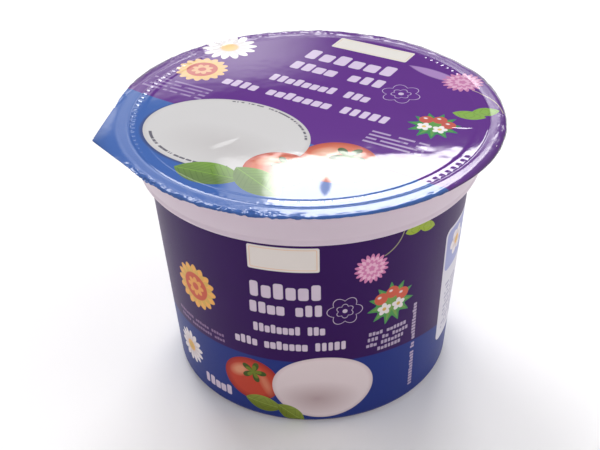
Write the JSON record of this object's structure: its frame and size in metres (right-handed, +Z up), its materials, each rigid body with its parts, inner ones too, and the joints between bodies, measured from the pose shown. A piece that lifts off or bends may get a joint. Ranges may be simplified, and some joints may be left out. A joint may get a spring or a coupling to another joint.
{
  "type": "sealed mozzarella tub",
  "caption": "Round tapered plastic tub of fresh mozzarella in brine, with a wrap-round printed label and a crimped printed film lid with a corner pull tab.",
  "frame": {"origin": "centre of the flat base, on the surface the tub stands on", "axes": "+Z up along the tub's axis, -Y the front of the label, pull tab towards -X"},
  "size_m": [0.1006, 0.098, 0.0704],
  "materials": {
    "tub_plastic": "satin moulded plastic",
    "label_print": "satin printed film",
    "film_print": "high-gloss printed film"
  },
  "bodies": {
    "root": {"tub": "tub_plastic", "label": "label_print", "lid_film": "film_print"}
  },
  "joints": []
}
